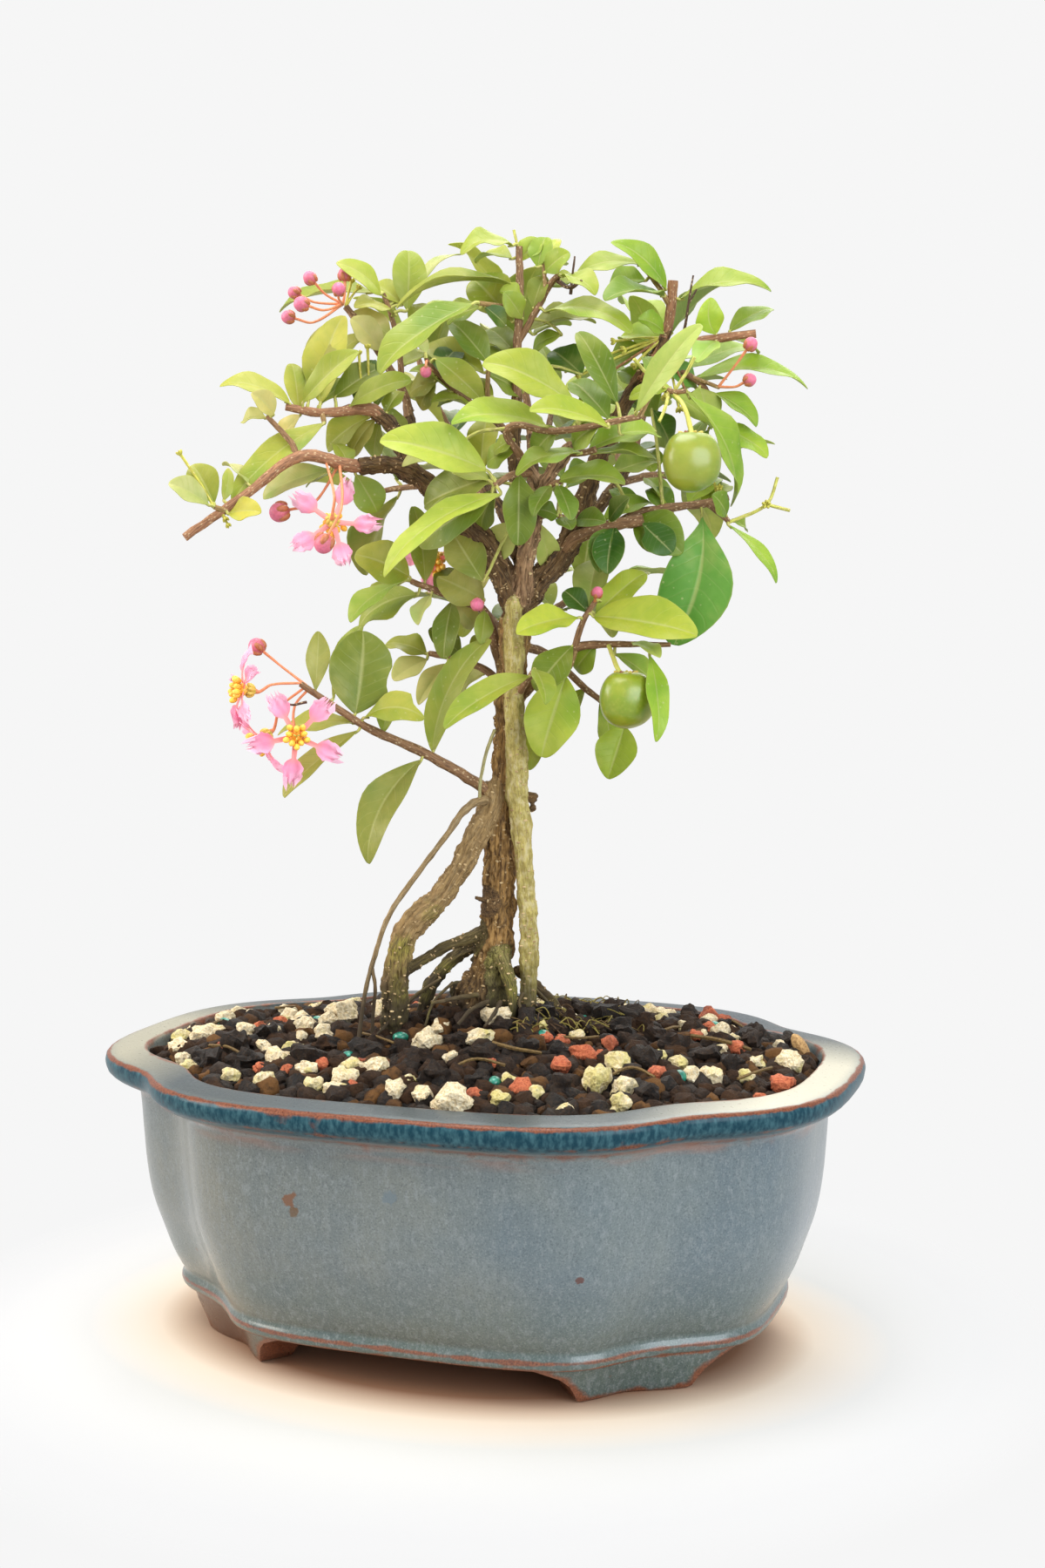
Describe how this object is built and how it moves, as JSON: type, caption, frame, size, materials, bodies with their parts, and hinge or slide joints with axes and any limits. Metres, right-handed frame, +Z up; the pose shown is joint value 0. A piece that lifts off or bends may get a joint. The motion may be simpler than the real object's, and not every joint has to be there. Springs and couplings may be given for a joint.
{
  "type": "barbados cherry bonsai",
  "caption": "Potted bonsai tree with fruit and flowers: slim trunk with prop roots, open leafy crown, mound of coarse soil in a glazed lobed pot on low feet.",
  "frame": {"origin": "on the surface that the pot stands on, under the middle of the pot's rim", "axes": "+Z up, X along the pot's length, -Y to the pot's front"},
  "size_m": [0.203, 0.163, 0.2953],
  "materials": {
    "pot_glaze": "glossy grey-blue glaze, teal on the rim, breaking to red-brown at thin edges",
    "net": "black moulded plastic net",
    "soil_mix": "damp dark crumbs with cream pumice, clay grains and bark",
    "bark": "rough brown bark with pale lenticels, greener on roots and young wood",
    "leaf": "glossy yellow-green to dark green leaf",
    "petal": "soft pink petal",
    "flower_middle": "green calyx with yellow stamens",
    "bud": "pink-red bud on an orange-pink stalk",
    "fruit": "smooth unripe green skin"
  },
  "bodies": {
    "root": {"buds_left_end": "bud", "buds_left_low": "bud", "buds_left_mid": "bud", "buds_left_tip": "bud", "buds_right_end": "bud", "buds_right_low": "bud", "buds_upper_middle": "bud", "drain_net_left": "net", "drain_net_right": "net", "flower_hanging_middle": "flower_middle", "flower_hanging_petals": "petal", "flower_inner_middle": "flower_middle", "flower_inner_petals": "petal", "flower_left_middle": "flower_middle", "flower_left_petals": "petal", "flower_lower_middle": "flower_middle", "flower_lower_petals": "petal", "flower_open_middle": "flower_middle", "flower_open_petals": "petal", "fruit_lower": "fruit", "fruit_upper": "fruit", "pot": "pot_glaze", "shoot_back_left_deep": "leaf", "shoot_back_left_high": "leaf", "shoot_back_left_low": "leaf", "shoot_back_low_left": "leaf", "shoot_back_low_right": "leaf", "shoot_back_middle_deep": "leaf", "shoot_back_right_deep": "leaf", "shoot_back_right_high": "leaf", "shoot_back_right_low": "leaf", "shoot_back_top": "leaf", "shoot_front_left": "leaf", "shoot_front_middle": "leaf", "shoot_fruit_twig": "leaf", "shoot_leader_top": "leaf", "shoot_left_end": "leaf", "shoot_left_inner": "leaf", "shoot_left_low": "leaf", "shoot_left_mid": "leaf", "shoot_left_tip": "leaf", "shoot_left_upper_end": "leaf", "shoot_limb_end": "leaf", "shoot_limb_side": "leaf", "shoot_right_end": "leaf", "shoot_right_fruiting": "leaf", "shoot_right_inner": "leaf", "shoot_right_low": "leaf", "shoot_right_mid_end": "leaf", "shoot_right_top_end": "leaf", "shoot_trunk_shoot": "leaf", "shoot_upper_middle": "leaf", "shoot_upper_right": "leaf", "soil": "soil_mix", "trunk_and_roots": "bark"}
  },
  "joints": []
}
